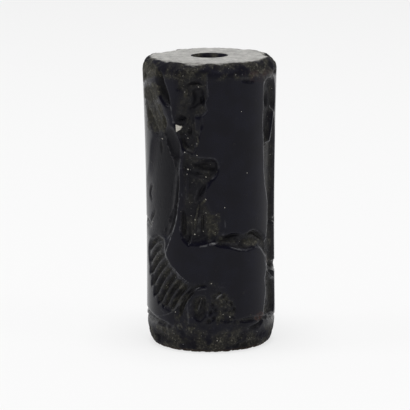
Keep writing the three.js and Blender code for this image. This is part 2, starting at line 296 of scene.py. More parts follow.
sink((-0.65, 12.0), (0.6, 12.2), (0.9, 11.1), (0.6, 9.95), (-0.3, 9.6), (-0.7, 10.4), depth=0.42, reach=0.6,
     steep=1.5, earth=1.0)
smear((-0.8, 12.3), (0.6, 12.9), (1.3, 11.2), (0.7, 9.9), (-0.3, 9.5), (-0.9, 10.4), crust=0.5, reach=0.9)
rib((-0.1, 9.6), (0.25, 9.62), (0.6, 9.74), width=0.22, share=0.9, crust=0.8)

# The bench between the two tall figures, its top edge scored twice.
sink((0.3, 9.6), (0.5, 10.5), (1.4, 10.4), (2.8, 10.35), (4.2, 10.4), (5.2, 9.95), (5.9, 9.2), (6.2, 8.2),
     (5.75, 7.9), (5.2, 8.5), (4.5, 8.95), (3.0, 8.85), (1.8, 9.2), depth=0.34, reach=0.5, steep=1.7)
engrave((0.8, 10.1), (1.8, 10.22), (2.8, 10.3), width=0.36, depth=0.66, earth=0.1)
engrave((2.9, 10.1), (4.0, 10.3), (4.9, 9.9), (5.8, 9.2), width=0.42, depth=0.62, earth=0.2)
leave((0.8, 9.9), (1.7, 9.95), (2.6, 9.75), (2.5, 9.3), (1.6, 9.4), (0.9, 9.6), share=0.6)
leave((2.9, 9.6), (3.6, 9.75), (4.6, 9.6), (4.9, 9.2), (4.0, 9.1), (3.1, 9.1), share=0.5, reach=0.25)
smear((0.8, 9.9), (2.6, 9.9), (2.6, 9.4), (1.4, 9.4), crust=0.9)
smear((2.7, 9.4), (3.4, 9.95), (4.7, 9.8), (5.0, 9.2), (3.8, 8.9), crust=0.8)

# The attendant on the right, in a long garment, with a forearm across the chest.
sink((5.25, 22.9), (5.25, 21), (5.2, 19.4), (5.35, 17.8), (5.4, 16.4), (5.55, 14.8), (5.95, 13.2), (6.15, 12),
     (6.0, 10.4), (5.8, 9.3), (5.95, 8.1), (5.85, 6.8), (5.65, 5.9), (5.75, 4.9), (5.5, 3.8), (5.35, 2.9),
     (6.6, 2.7), (7.7, 3.2), (7.9, 7), (7.8, 11), (8.0, 15), (8.1, 17.8), (7.5, 19.6), (7.6, 21.6),
     (7.0, 23.1), (6.0, 23.4), depth=FIGURE_DEPTH)
drill(6.45, 21.5, 1.5, 0.8, height=2.1)
leave((6.1, 17.7), (6.5, 17.6), (7.1, 18.8), (7.55, 20.2), (7.2, 20.6), (6.7, 19.4), share=0.95, reach=0.2)
engrave((5.4, 20.9), (5.8, 20.3), (5.6, 19.4), width=0.5, depth=0.62)
engrave((5.4, 19.2), (5.8, 19.1), (6.3, 18.9), width=0.3, depth=0.66)
for sleeve in range(4):
    start = (5.5, 17.9 - 0.42 * sleeve)
    engrave(start, away(start, -14, 0.8), away(start, -20, 1.8), width=0.34, depth=0.6)
for fold in range(3):
    across = 6.3 + 0.6 * fold
    engrave((across, 3.4), (across - 0.1, 8), (across + 0.1, 15.5), width=0.42, depth=0.62)
engrave((6.2, 11.1), (7.3, 10.9), (8.4, 10.7), width=0.45, depth=0.66)
engrave((5.9, 8.6), (6.8, 8.5), (7.6, 8.2), width=0.45, depth=0.62)
sink((5.85, 7.8), (6.9, 8.1), (7.6, 7.3), (9.3, 6.9), (9.4, 6.3), (7.4, 6.3), (6.3, 6.75), depth=0.66,
     reach=0.35)
leave((5.8, 6.85), (6.4, 6.6), (7.5, 5.95), (8.4, 5.6), (8.3, 5.3), (7.2, 5.6), (6.2, 6.3), share=0.9,
      reach=0.16)
drill(6.9, 5.2, 1.0, 0.66, height=0.5, turn=-20)
drill(6.6, 3.2, 1.6, 0.6, height=0.8)

# The plain hanging on the left of the front: polished, sloping down to a crisp right-hand edge.
sink((-2.6, 18.3), (-2.5, 17.2), (-2.7, 15.6), (-2.9, 13.8), (-3.1, 12.4), (-3.4, 11.0), (-4.0, 9.8),
     (-4.8, 9.7), (-6.2, 9.5), (-9.0, 10.2), (-9.2, 12.5), (-8.0, 14.2), (-6.8, 15.8), (-6.2, 17.9),
     (-4.9, 19.2), (-3.4, 19.6), depth=0.24, reach=0.9, steep=2.0, earth=0.0, lean=0.085)
engrave((-2.85, 15.6), (-3.1, 13.2), (-3.5, 11.2), (-4.1, 9.9), width=0.5, depth=0.42, blunt=0.4, earth=0.1)
engrave((-3.55, 15.8), (-3.7, 14), (-3.95, 12.4), width=0.4, depth=0.44, earth=0.0)
engrave((-4.95, 18.4), (-4.9, 17.4), (-4.75, 16.9), width=0.4, depth=0.44, earth=0.3)
engrave((-6.3, 12.5), (-6.9, 13.2), (-6.6, 14.0), (-6.1, 14.3), width=0.42, depth=0.34, earth=0.3)
engrave((-6.9, 10.8), (-6.4, 11.5), (-5.7, 12.1), width=0.42, depth=0.36, earth=0.3)
engrave((-9.2, 10.75), (-7.9, 10.7), (-6.6, 10.5), width=0.7, depth=0.4, earth=0.3)
engrave((-6.4, 9.35), (-5.4, 9.55), (-4.4, 9.6), width=0.55, depth=0.4, earth=1.0)

# The crested bird behind the worshipper's head, worn soft and full of earth.
sink((-7.0, 22.9), (-4.9, 23.2), (-4.7, 22.0), (-4.0, 21.0), (-3.6, 20.0), (-3.5, 19.2), (-4.2, 18.5),
     (-5.3, 18.3), (-6.3, 19.2), (-7.2, 21.2), depth=0.28, reach=1.4, steep=1.3, earth=0.8)
sink((-5.0, 24.1), (-4.35, 24.1), (-3.9, 23.0), (-3.5, 21.9), (-3.55, 21.3), (-4.25, 21.5), (-4.95, 22.5),
     depth=0.7, reach=0.6, steep=1.6, earth=0.1)
engrave((-6.8, 20.9), (-6.0, 19.7), (-4.8, 18.7), width=0.9, depth=0.42, earth=0.6)
engrave((-4.5, 20.6), (-4.3, 19.8), (-4.4, 19.0), width=0.8, depth=0.42, earth=0.3)
rib((-6.9, 22.3), (-5.9, 22.9), (-4.7, 23.7), width=0.6, share=0.6, crust=0.2)
smear((-8.0, 22.8), (-4.8, 23.2), (-4.6, 21.6), (-6.0, 21.0), (-8.0, 21.2), crust=1.0, reach=0.7)
smear((-7.8, 21.6), (-4.7, 21.8), (-3.7, 19.9), (-4.4, 18.5), (-7.0, 18.9), crust=0.75, reach=0.8)
drill(-7.2, 23.5, 1.0, 0.4, height=0.6, earth=0.8)

# The winged beast in the lower band. Its tail feathers sweep down on the front from a round rump,
# over a raised paw; its body, wing, neck and legs run on behind.
FEATHERS = 9
sink((-4.5, 9.6), (-4.35, 8.5), (-3.6, 7.4), (-2.4, 6.35), (-1.1, 5.9), (-2.6, 4.2), (-3.9, 3.5), (-5.4, 4.4),
     (-6.6, 6.3), (-7.4, 8.2), (-6.2, 9.5), depth=0.14, reach=0.3, earth=0.3)


def feather_line(feather):
    part = feather / (FEATHERS - 1)
    bulge = math.sin(math.pi * part)
    start = (-5.15 + 3.7 * part - 0.3 * bulge, 9.75 - 4.1 * part - 0.35 * bulge)
    turn = 212 + 20 * min(1, part * 1.6)
    length = 2.5 + 1.2 * bulge
    return start, away(start, turn - 4, length / 2), away(start, turn + 2, length)


for feather in range(FEATHERS):
    engrave(*feather_line(feather), width=0.72, depth=0.6, steep=1.25, blunt=0.4, earth=0.5)
smear((-5.0, 9.8), (-4.2, 8.0), (-1.2, 5.8), (-3.0, 3.2), (-5.6, 4.0), (-7.4, 7.6), crust=0.42, reach=0.7)
sink((-3.6, 3.3), (-2.5, 4.5), (-0.6, 5.5), (1.3, 5.6), (2.7, 3.6), (2.8, 1.9), (-0.5, 1.7), (-3.8, 2.0),
     depth=0.1, reach=0.9, steep=1.4, earth=0.9)
smear((-3.6, 3.4), (-2.2, 4.8), (-0.4, 5.4), (0.4, 3.0), (-1.0, 1.6), (-3.8, 1.8), crust=0.4, reach=0.7)
engrave((-2.2, 4.9), (-2.6, 3.9), (-2.95, 3.0), width=0.5, depth=0.5, earth=0.6)
sink((-1.75, 4.75), (-1.2, 5.15), (-0.4, 5.1), (-0.2, 4.3), (-0.3, 3.4), (-0.9, 2.8), (-1.6, 3.1),
     (-1.72, 4.0), depth=0.42, reach=0.5, steep=1.5, earth=0.3)
rib((-0.75, 4.9), (-0.95, 4.3), (-1.15, 3.7), width=0.3, share=0.6)
engrave((-2.1, 5.35), (-1.2, 5.85), (-0.3, 6.1), width=0.3, depth=0.3, earth=0.3)
sink((-0.3, 6.1), (0.5, 6.4), (1.1, 5.9), (1.9, 5.0), (2.5, 3.7), (2.4, 2.5), (0.4, 2.4), (-0.2, 3.4),
     (-0.35, 4.7), depth=0.2, reach=0.8, steep=1.4, earth=0.8)
for pit in range(24):
    across, up = -0.2 + 0.42 * (pit % 6) + 0.17 * (pit // 6), 2.9 + 0.72 * (pit // 6) + 0.24 * (pit % 2)
    if across + up * 0.8 < 5.4:
        drill(across, up, 0.5, 0.36, height=0.32, turn=40 * pit, earth=0.2)
smear((-0.6, 4.8), (0.8, 6.0), (2.1, 4.8), (2.9, 2.4), (0.3, 2.2), crust=0.5, reach=1.1)
smear((-0.5, 6.6), (0.5, 6.7), (1.0, 5.9), (-0.2, 5.5), crust=0.45, reach=0.5)

sink((-9.0, 8.2), (-8.95, 6.0), (-9.9, 5.0), (-12.0, 5.2), (-14.4, 4.9), (-15.3, 6.2), (-15.2, 8.6),
     (-14.5, 9.4), (-13.0, 8.2), (-11.0, 8.6), depth=0.5, reach=0.9, steep=1.8)
drill(-15.7, 10.2, 1.9, 0.5, height=1.7)
for leg in (-9.6, -10.9, -13.6, -15.0):
    engrave((leg, 5.6), (leg - 0.5, 4.3), (leg, 2.9), width=0.85, depth=0.45)
for quill in range(4):
    turn = 70 - 15 * quill
    root = (-12.6, 8.6)
    engrave(root, away(root, turn + 6, 1.8), away(root, turn, 3.6), width=0.7, depth=0.42)

# Behind: a second attendant, a crescent over a star, and a plain staff with knobs.
sink((12.0, 22.6), (11.3, 21.2), (11.6, 19.4), (10.9, 17.8), (11.0, 15.0), (11.2, 11.0), (10.9, 6.5),
     (10.6, 3.2), (12.4, 2.9), (14.2, 3.2), (13.9, 7.0), (13.5, 11.5), (13.8, 15.5), (13.6, 18.4),
     (12.9, 19.6), (13.2, 21.4), depth=FIGURE_DEPTH)
drill(12.5, 21.2, 1.6, 0.8, height=2.0)
for fold in range(4):
    across = 11.4 + 0.66 * fold
    engrave((across, 3.6), (across, 9), (across, 14.5 - 0.5 * fold), width=0.5, depth=0.66)
engrave((11.2, 17.2), (12.2, 16.4), (13.5, 16.6), width=0.7, depth=0.7)
engrave(*[away((-12.0, 20.6), 200 + 35 * i, 1.6) for i in range(5)], width=0.85, depth=0.45)
for ray in range(8):
    turn = 45 * ray + 10
    engrave(away((-12.0, 15.2), turn, 0.3), away((-12.0, 15.2), turn, 1.7), width=0.45, depth=0.4)
engrave((16.2, 3.0), (16.2, 12.0), (16.2, 20.5), width=0.62, depth=0.42, blunt=0.2)
for knob in (20.9, 17.4, 12.0):
    drill(16.2, knob, 1.1, 0.5)

# The line the figures stand on. It is cut all round, a little wavy, and lost in bruises at the front.
for first, last in ((-17.8, -10.2), (-10.4, -3.4), (1.9, 9.8), (9.6, 17.8)):
    steps = 14
    ground = []
    for i in range(steps + 1):
        across = first + (last - first) * i / steps
        ground.append((across, 2.5 + 0.3 * math.sin(across / WAIST_RADIUS * 3)))
    engrave(*ground, width=0.5, depth=0.3, blunt=0.4, earth=0.4)
engrave((3.3, 1.95), (4.3, 2.05), (5.2, 2.5), width=0.35, depth=0.4)
engrave((-9.5, 2.2), (-7.5, 2.15), (-5.5, 2.3), width=0.6, depth=0.42)
for across, up, size in (
    (-2.6, 2.0, 1.1), (-1.0, 1.9, 1.3), (0.9, 1.7, 1.6), (2.6, 1.4, 1.2), (-4.4, 1.6, 1.5),
):
    drill(across, up, size, 0.12, size * 0.5, 20 * across, earth=0.8)
smear((4.2, 3.2), (5.3, 3.2), (5.4, 2.5), (4.3, 2.5), rust=1.0, reach=0.2)
smear((5.8, 7.9), (7.0, 8.1), (7.6, 6.9), (6.2, 6.6), rust=1.0, reach=0.3)
smear((3.0, 24.3), (6.6, 24.2), (6.8, 23.2), (3.6, 23.3), rust=0.35, crust=0.5, reach=0.5)
smear((-8.6, 24.7), (-5.0, 24.8), (-4.9, 23.5), (-8.4, 22.6), crust=0.9, reach=0.5)

# Flakes and bruises that the two ends have lost over the years.
for across, up, width, height, depth, turn in (
    (5.2, 24.4, 3.4, 1.3, 0.26, 4), (1.3, 24.6, 2.4, 0.8, 0.16, 3), (-1.5, 24.8, 2.8, 1.0, 0.2, 0),
    (3.3, 23.5, 1.4, 0.34, 0.14, -12), (-6.8, 24.4, 3.4, 1.2, 0.28, -6), (-4.6, 25.1, 1.2, 0.6, 0.1, 0),
    (7.4, 23.7, 1.0, 0.4, 0.5, 0), (9.4, 24.9, 2.6, 1.0, 0.45, 5), (-12.5, 24.9, 3.2, 0.8, 0.4, 0),
    (14.2, 0.4, 2.8, 1.1, 0.45, 8), (3.4, 0.5, 3.2, 0.9, 0.3, 3), (-5.2, 1.0, 2.2, 0.9, 0.25, 10),
):
    drill(across, up, width, depth, height, turn, earth=0.7)

# Arrises drawn as a pale line, partly wear and partly a painted highlight where the edge faces the lights,
# with how strongly each one shows.
worn_and_highlit_arrises = []


def arris(*corners, share):
    worn_and_highlit_arrises.append((smooth_line(corners, False), share))


arris((5.18, 23.2), (5.17, 21.0), (5.12, 19.4), (5.27, 17.8), (5.32, 16.4), (5.47, 14.8), (5.87, 13.2),
      (6.07, 12), (5.92, 10.4), (5.72, 9.2), share=0.9)
arris((4.3, 9.0), (4.9, 8.8), (5.35, 8.2), (5.65, 7.4), (5.75, 6.7), (5.55, 6.0), (5.6, 5.0),
      (5.5, 4.3), (5.35, 3.6), (5.2, 3.1), share=0.85)
arris((-2.75, 13.5), (-2.95, 12.4), (-3.2, 11.2), (-3.6, 10.1), (-4.15, 8.9), (-4.25, 8.4), (-3.9, 7.75),
      (-3.3, 7.25), (-2.7, 6.7), (-2.0, 6.25), share=0.6)
arris((-3.25, 15.8), (-3.4, 14.2), (-3.6, 12.6), (-3.7, 11.8), share=0.16)
arris((-2.75, 16.0), (-2.8, 14.6), (-2.85, 13.6), share=0.12)
arris((-3.42, 21.3), (-3.35, 20.6), (-3.2, 19.9), share=0.5)
arris((-0.25, 24.1), (-0.18, 23.0), (-0.15, 22.2), (-0.4, 21.7), (-0.22, 21.1), (-0.6, 20.65), share=0.14)
arris((-1.9, 17.1), (-0.6, 17.0), (0.3, 16.95), (0.68, 16.6), (0.74, 16.1), (0.5, 15.55), (0.15, 15.25),
      share=0.12)
arris((1.7, 9.3), (2.4, 9.05), (3.1, 8.85), (4.2, 8.95), share=0.4)
arris((-0.05, 9.58), (0.25, 9.62), (0.55, 9.72), share=0.9)
arris((-0.9, 9.38), (-0.6, 9.42), (-0.3, 9.5), share=0.5)
for feather in range(FEATHERS - 1):
    arris(*feather_line(feather + 0.5), share=0.13)
arris((-7.2, 2.6), (-6.2, 2.75), (-5.2, 2.85), (-4.2, 3.15), (-3.5, 3.55), (-2.7, 4.4), (-1.9, 5.2),
      (-0.9, 5.8), share=0.25)
arris((6.25, 17.7), (6.8, 18.7), (7.25, 19.8), (7.35, 20.8), share=0.9)
arris((5.9, 6.9), (6.6, 6.5), (7.5, 5.85), (8.2, 5.5), share=0.8)
arris((0.55, 4.85), (0.7, 5.0), (0.95, 5.15), share=0.6)
arris((-2.2, 5.0), (-1.3, 5.5), (-0.35, 5.7), share=0.2)
arris((-2.1, 4.8), (-2.05, 3.7), (-2.0, 2.6), share=0.2)
arris((-0.9, 4.7), (-1.0, 4.3), (-1.15, 3.8), share=0.25)

# ---------------------------------------------------------------------------------------------
# The carving itself. The section is turned round the bore, and every vertex is set back along its
# own outward direction by the deepest cut above it, with the wobble of a hand-held tool.

outline_points, outline_faces, outline_cut = [], [], []
for number, one in enumerate(cuts):
    first = len(outline_points)
    outline_points += [(spot[0], spot[1], 0) for spot in one["outline"]]
    outline_faces.append(tuple(range(first, len(outline_points))))
    outline_cut += [number] * len(one["outline"])
drawn_cuts = meshed("drawn_cuts", outline_points, (), outline_faces)
set_values(drawn_cuts, "cut", "INT", "POINT", outline_cut)
for fact in ("depth", "lean", "reach", "steep", "keep", "earth", "crust", "rust"):
    set_values(drawn_cuts, fact, "FLOAT", "FACE", [one[fact] for one in cuts])

worn_points, worn_edges, worn_shares = [], [], []
for line, share in worn_and_highlit_arrises:
    first = len(worn_points)
    worn_points += [(spot[0], spot[1], 0) for spot in line]
    worn_edges += [(i, i + 1) for i in range(first, len(worn_points) - 1)]
    worn_shares += [share] * len(line)
drawn_arrises = meshed("drawn_arrises", worn_points, worn_edges)
set_values(drawn_arrises, "share", "FLOAT", "POINT", worn_shares)


class Tree:
    """Short words for adding nodes to a node tree: a value or a socket may feed any input."""

    def __init__(self, tree):
        self.tree = tree

    def node(self, kind, inputs=None, **settings):
        made = self.tree.nodes.new(kind)
        for name, value in settings.items():
            setattr(made, name, value)
        for name, value in (inputs or {}).items():
            self.feed(made.inputs[name], value)
        return made

    def feed(self, socket, value):
        if isinstance(value, bpy.types.NodeSocket):
            self.tree.links.new(value, socket)
        else:
            socket.default_value = value

    def math(self, operation, *values):
        return self.node("ShaderNodeMath", dict(enumerate(values)), operation=operation).outputs[0]

    def plus(self, a, b):
        return self.math("ADD", a, b)

    def minus(self, a, b):
        return self.math("SUBTRACT", a, b)

    def times(self, a, b):
        return self.math("MULTIPLY", a, b)

    def most(self, a, b):
        return self.math("MAXIMUM", a, b)

    def vector(self, operation, *values):
        made = self.node("ShaderNodeVectorMath", operation=operation)
        for i, value in enumerate(values):
            self.feed(made.inputs["Scale" if operation == "SCALE" and i == 1 else i], value)
        return made.outputs[1 if operation in ("LENGTH", "DISTANCE", "DOT_PRODUCT") else 0]

    def xyz(self, x, y, z):
        return self.node("ShaderNodeCombineXYZ", {0: x, 1: y, 2: z}).outputs[0]

    def parts(self, vector):
        return self.node("ShaderNodeSeparateXYZ", {0: vector}).outputs

    def ramp(self, value, low, high, out_low=0.0, out_high=1.0):
        """A smooth step of a value between two limits."""
        made = self.node("ShaderNodeMapRange", interpolation_type="SMOOTHSTEP")
        for i, number in enumerate((value, low, high, out_low, out_high)):
            self.feed(made.inputs[i], number)
        return made.outputs[0]

    def noise(self, place, scale, detail=2.0, roughness=0.5, colour=False):
        made = self.node("ShaderNodeTexNoise", noise_dimensions="3D")
        self.feed(made.inputs["Vector"], place)
        for name, value in (("Scale", scale), ("Detail", detail), ("Roughness", roughness)):
            made.inputs[name].default_value = value
        return made.outputs[1 if colour else 0]


def tree_with_inputs(name, **labels):
    """A geometry tree whose named inputs are listed by their kind."""
    tree = bpy.data.node_groups.new(name, "GeometryNodeTree")
    tree.interface.new_socket("Geometry", in_out="OUTPUT", socket_type="NodeSocketGeometry")
    for kind in labels:
        for label in labels[kind]:
            tree.interface.new_socket(label, in_out="INPUT", socket_type="NodeSocket" + kind)
    return tree


def finish_with(tree, piece, values):
    """Runs a tree on a piece and keeps what it makes as a plain mesh."""
    modifier = piece.modifiers.new(tree.name, "NODES")
    modifier.node_group = tree
    for socket in tree.interface.items_tree:
        if socket.in_out == "INPUT":
            modifier[socket.identifier] = values[socket.name]
    bpy.context.view_layer.update()
    finished = bpy.data.meshes.new_from_object(piece.evaluated_get(bpy.context.evaluated_depsgraph_get()))
    piece.modifiers.remove(modifier)
    piece.data = finished


carving = tree_with_inputs(
    "turned_and_carved_stone",
    Object=("Section", "Cuts", "Arrises"),
    Int=("Number of cuts", "Columns"),
    Float=("Front share", "Waist radius", "Height", "Hand wobble", "Tool marks", "Edge wear", "Unit"),
    Material=("Stone",),
)
t = Tree(carving)
given = t.node("NodeGroupInput").outputs


def stored(geometry, name, value, kind="FLOAT"):
    made = t.node(
        "GeometryNodeStoreNamedAttribute", {"Geometry": geometry, "Name": name},
        data_type=kind, domain="POINT",
    )
    t.feed(made.inputs["Value"], value)
    return made.outputs[0]


def read(name, kind="FLOAT"):
    return t.node("GeometryNodeInputNamedAttribute", {"Name": name}, data_type=kind).outputs[0]


def drawing(label):
    return t.node("GeometryNodeObjectInfo", {"Object": given[label]}).outputs["Geometry"]


# Turning: the section goes round the bore, with more columns on the carved front than behind.
profile = t.node("GeometryNodeMeshToCurve", {"Mesh": drawing("Section")}).outputs[0]
circle = t.node("GeometryNodeCurvePrimitiveCircle", {"Resolution": given["Columns"], "Radius": 1.0})
count = t.node("GeometryNodeInputIndex").outputs[0]
even_turn = t.math("DIVIDE", t.times(count, 2 * math.pi), given["Columns"])
front_turn = t.minus(even_turn, t.times(given["Front share"], t.math("SINE", even_turn)))
circle = stored(circle.outputs[0], "turn", front_turn)
body = t.node("GeometryNodeCurveToMesh", {"Curve": circle, "Profile Curve": profile}).outputs[0]

turn, up = read("turn"), read("drawn_up")
sine, cosine = t.math("SINE", turn), t.math("COSINE", turn)
section_r, section_z, _ = t.parts(read("section", "FLOAT_VECTOR"))
out_r, out_z, _ = t.parts(read("outward", "FLOAT_VECTOR"))


def turned(radius, height):
    return t.xyz(t.times(radius, sine), t.times(radius, t.times(cosine, -1.0)), height)


skin, outwards = turned(section_r, section_z), turned(out_r, out_z)
across = t.times(t.math("WRAP", turn, math.pi, -math.pi), given["Waist radius"])


def wobble(scale, share):
    shake = t.vector("SUBTRACT", t.noise(skin, scale, colour=True), (0.5, 0.5, 0.5))
    return t.vector("SCALE", shake, t.times(given["Hand wobble"], share))


flat = t.vector("ADD", t.xyz(across, up, 0.0), t.vector("ADD", wobble(1.1, 1.0), wobble(4.5, 0.45)))
flat = t.vector("MULTIPLY", flat, (1.0, 1.0, 0.0))
for name, value, kind in (
    ("skin", skin, "FLOAT_VECTOR"), ("outwards", outwards, "FLOAT_VECTOR"), ("flat", flat, "FLOAT_VECTOR"),
    ("cut_depth", 0.0, "FLOAT"), ("earth_share", 0.0, "FLOAT"), ("crust_share", 0.0, "FLOAT"),
    ("rust_share", 0.0, "FLOAT"),
):
    body = stored(body, name, value, kind)

# Cutting: one turn of the loop for each cut of the frieze, in the order they were drawn.
outlines = drawing("Cuts")
loop_in = t.node("GeometryNodeRepeatInput")
loop_out = t.node("GeometryNodeRepeatOutput")
loop_in.pair_with_output(loop_out)
t.feed(loop_in.inputs["Iterations"], given["Number of cuts"])
t.feed(loop_in.inputs["Geometry"], body)
this_cut = loop_in.outputs["Iteration"]


def gap_to(element, only_this_cut=True):
    made = t.node("GeometryNodeProximity", target_element=element)
    t.feed(made.inputs[0], outlines)
    t.feed(made.inputs["Source Position"], read("flat", "FLOAT_VECTOR"))
    if only_this_cut:
        t.feed(made.inputs["Group ID"], read("cut", "INT"))
        t.feed(made.inputs["Sample Group ID"], this_cut)
    return made.outputs["Distance"]


def fact(name):
    made = t.node(
        "GeometryNodeSampleIndex", {"Geometry": outlines, "Index": this_cut},
        data_type="FLOAT", domain="FACE",
    )
    t.feed(made.inputs["Value"], read(name))
    return made.outputs[0]


inside = t.math("LESS_THAN", gap_to("FACES"), 1e-4)
from_rim = t.math("MINIMUM", t.math("DIVIDE", gap_to("EDGES"), fact("reach")), 1.0)
slope = t.minus(1.0, t.math("POWER", t.minus(1.0, from_rim), fact("steep")))
slope = t.times(slope, inside)
before, earth_before = read("cut_depth"), read("earth_share")
this_across = t.parts(read("flat", "FLOAT_VECTOR"))[0]
this_depth = t.most(t.plus(fact("depth"), t.times(fact("lean"), this_across)), 0.0)
this_depth = t.times(this_depth, slope)
deeper = t.most(before, this_depth)
left_standing = t.minus(1.0, t.times(fact("keep"), slope))
deepest = t.math("GREATER_THAN", this_depth, before)
earth = t.plus(t.times(earth_before, t.minus(1.0, deepest)), t.times(fact("earth"), deepest))
worked = stored(loop_in.outputs["Geometry"], "earth_share", earth)
for name in ("crust", "rust"):
    spread = t.most(read(name + "_share"), t.times(fact(name), slope))
    worked = stored(worked, name + "_share", spread)
worked = stored(worked, "cut_depth", t.times(deeper, left_standing))
t.feed(loop_out.inputs["Geometry"], worked)
body = loop_out.outputs["Geometry"]

# Wear: the cuts' creases soften, their floors keep the marks of the tool, and the ends crumble.
skin, outwards, up = read("skin", "FLOAT_VECTOR"), read("outwards", "FLOAT_VECTOR"), read("drawn_up")
body = stored(body, "rim_gap", gap_to("EDGES", False))
# The pale arris lines, partly wear and partly painted highlight, go to the material as a gap and a share.
arrises = drawing("Arrises")
to_arris = t.node("GeometryNodeProximity", target_element="EDGES")
t.feed(to_arris.inputs[0], arrises)
t.feed(to_arris.inputs["Source Position"], read("flat", "FLOAT_VECTOR"))
body = stored(body, "arris_gap", to_arris.outputs["Distance"])
nearest = t.node("GeometryNodeSampleNearest", {"Geometry": arrises}, domain="POINT")
t.feed(nearest.inputs["Sample Position"], read("flat", "FLOAT_VECTOR"))
arris_share = t.node("GeometryNodeSampleIndex", {"Geometry": arrises}, data_type="FLOAT", domain="POINT")
t.feed(arris_share.inputs["Value"], read("share"))
t.feed(arris_share.inputs["Index"], nearest.outputs[0])
body = stored(body, "arris_share", arris_share.outputs[0])
softened = t.node("GeometryNodeBlurAttribute", {"Iterations": 1, "Weight": 0.6}, data_type="FLOAT")
t.feed(softened.inputs["Value"], read("cut_depth"))
depth = softened.outputs[0]
in_cut = t.ramp(depth, 0.05, 0.3)
marks = t.minus(t.noise(skin, 3.4, 4.0, 0.65), 0.5)
marks = t.times(marks, t.plus(read("earth_share"), 0.04))
marks = t.times(marks, t.times(in_cut, given["Tool marks"]))
grit = t.times(t.minus(t.noise(skin, 5.5, 3.0, 0.6), 0.5), read("crust_share"))
marks = t.minus(marks, t.times(grit, given["Tool marks"]))
near_top = t.ramp(t.math("ABSOLUTE", t.minus(up, t.minus(given["Height"], 0.25))), 1.3, 0.1)
near_foot = t.times(t.ramp(up, 2.6, 0.6), t.ramp(up, -0.9, 0.1))
crumble = t.plus(t.times(near_top, t.ramp(t.noise(skin, 1.5, 5.0, 0.55), 0.35, 0.8, 0.0, 0.7)),
                 t.times(near_foot, t.ramp(t.noise(skin, 1.9, 5.0, 0.65), 0.40, 0.8)))
crumble = t.times(crumble, given["Edge wear"])
depth = t.most(t.plus(t.plus(depth, marks), crumble), 0.0)
depth = t.times(depth, t.math("LESS_THAN", up, t.plus(given["Height"], BORE_MARK - 1.0)))
body = stored(body, "cut_depth", depth)
place = t.vector("SUBTRACT", skin, t.vector("SCALE", outwards, read("cut_depth")))
place = t.vector("SCALE", place, given["Unit"])
body = t.node("GeometryNodeSetPosition", {"Geometry": body, "Position": place}).outputs[0]
body = t.node("GeometryNodeFlipFaces", {"Mesh": body}).outputs[0]
body = t.node("GeometryNodeSetShadeSmooth", {"Geometry": body}).outputs[0]
body = t.node("GeometryNodeRealizeInstances", {"Geometry": body}).outputs[0]
body = t.node("GeometryNodeSetMaterial", {"Geometry": body, "Material": given["Stone"]}).outputs[0]
t.feed(t.node("NodeGroupOutput").inputs[0], body)

# The stone's finish: a polished blue-black ground, duller cuts that hold olive-brown earth, pale
# arrises that are partly wear and partly painted highlight, painted glints of light, rusty stains, a dusty
# top face and a brown stain round the foot. Places are in mm.
stone = bpy.data.materials.new("blue_black_stone")
stone.use_nodes = True
stone.node_tree.nodes.clear()
m = Tree(stone.node_tree)
place = m.vector("SCALE", m.node("ShaderNodeTexCoord").outputs["Object"], 1 / MM)
up = m.parts(place)[2]
depth, gap, earthy, crusty, rusty, arris_gap, arris_share = (
    m.node("ShaderNodeAttribute", attribute_name=name).outputs["Fac"]
    for name in (
        "cut_depth", "rim_gap", "earth_share", "crust_share", "rust_share", "arris_gap", "arris_share",
    )
)


def blend(share, under, over):
    made = m.node("ShaderNodeMix", data_type="RGBA")
    m.feed(made.inputs["Factor"], share)
    for socket, colour in ((made.inputs[6], under), (made.inputs[7], over)):
        m.feed(socket, colour if isinstance(colour, bpy.types.NodeSocket) else (*colour, 1.0))
    return made.outputs[2]


mottle = m.ramp(m.noise(place, 0.55, 4.0, 0.6), 0.35, 0.7)
colour = blend(mottle, (0.0014, 0.0011, 0.0050), (0.0034, 0.0034, 0.0098))
in_cut = m.ramp(depth, 0.04, 0.3)
colour = blend(in_cut, colour, (0.0050, 0.0048, 0.0075))
ends = m.most(m.ramp(up, 23.3, 24.3), m.ramp(up, 2.6, 1.0))
patches = m.ramp(m.noise(place, 0.75, 4.0, 0.6), 0.40, 0.60)
grains = m.ramp(m.noise(place, 4.6, 5.0, 0.75), 0.46, 0.68)
lodged = m.most(m.times(in_cut, earthy), m.ramp(ends, 0.0, 0.6))
earth = m.times(m.times(patches, grains), lodged)
crusty = m.ramp(m.plus(crusty, m.times(m.minus(m.noise(place, 1.4, 4.0, 0.65), 0.5), 2.2)), 0.30, 0.85)
earth = m.most(earth, m.times(crusty, m.ramp(m.noise(place, 4.0, 5.0, 0.8), 0.46, 0.66)))
earth_paleness = m.ramp(m.noise(place, 3.4, 5.0, 0.75), 0.44, 0.68)
earth_tone = blend(earth_paleness, (0.038, 0.035, 0.025), (0.21, 0.20, 0.158))
film = m.most(m.times(m.times(patches, lodged), 0.6), m.times(crusty, 0.8))
colour = blend(film, colour, (0.029, 0.0275, 0.0215))
rusty = m.times(rusty, m.ramp(m.noise(place, 1.8, 4.0, 0.7), 0.40, 0.62))
colour = blend(rusty, colour, (0.045, 0.014, 0.009))
colour = blend(earth, colour, earth_tone)
rim = m.times(m.ramp(gap, 0.09, 0.01), m.ramp(m.noise(place, 1.1, 4.0, 0.7), 0.55, 0.70))
colour = blend(m.times(rim, 0.35), colour, (0.10, 0.10, 0.105))
# Pale arris lines: partly wear, partly a painted highlight on the edges that face the lights.
broken = m.ramp(m.noise(place, 1.6, 5.0, 0.75), 0.38, 0.60, 0.12, 1.0)
arris_width = m.ramp(m.noise(place, 0.9, 3.0), 0.3, 0.7, 0.06, 0.14)
arris = m.times(m.times(m.ramp(arris_gap, arris_width, 0.01), arris_share), broken)
colour = blend(arris, colour, (0.19, 0.19, 0.20))
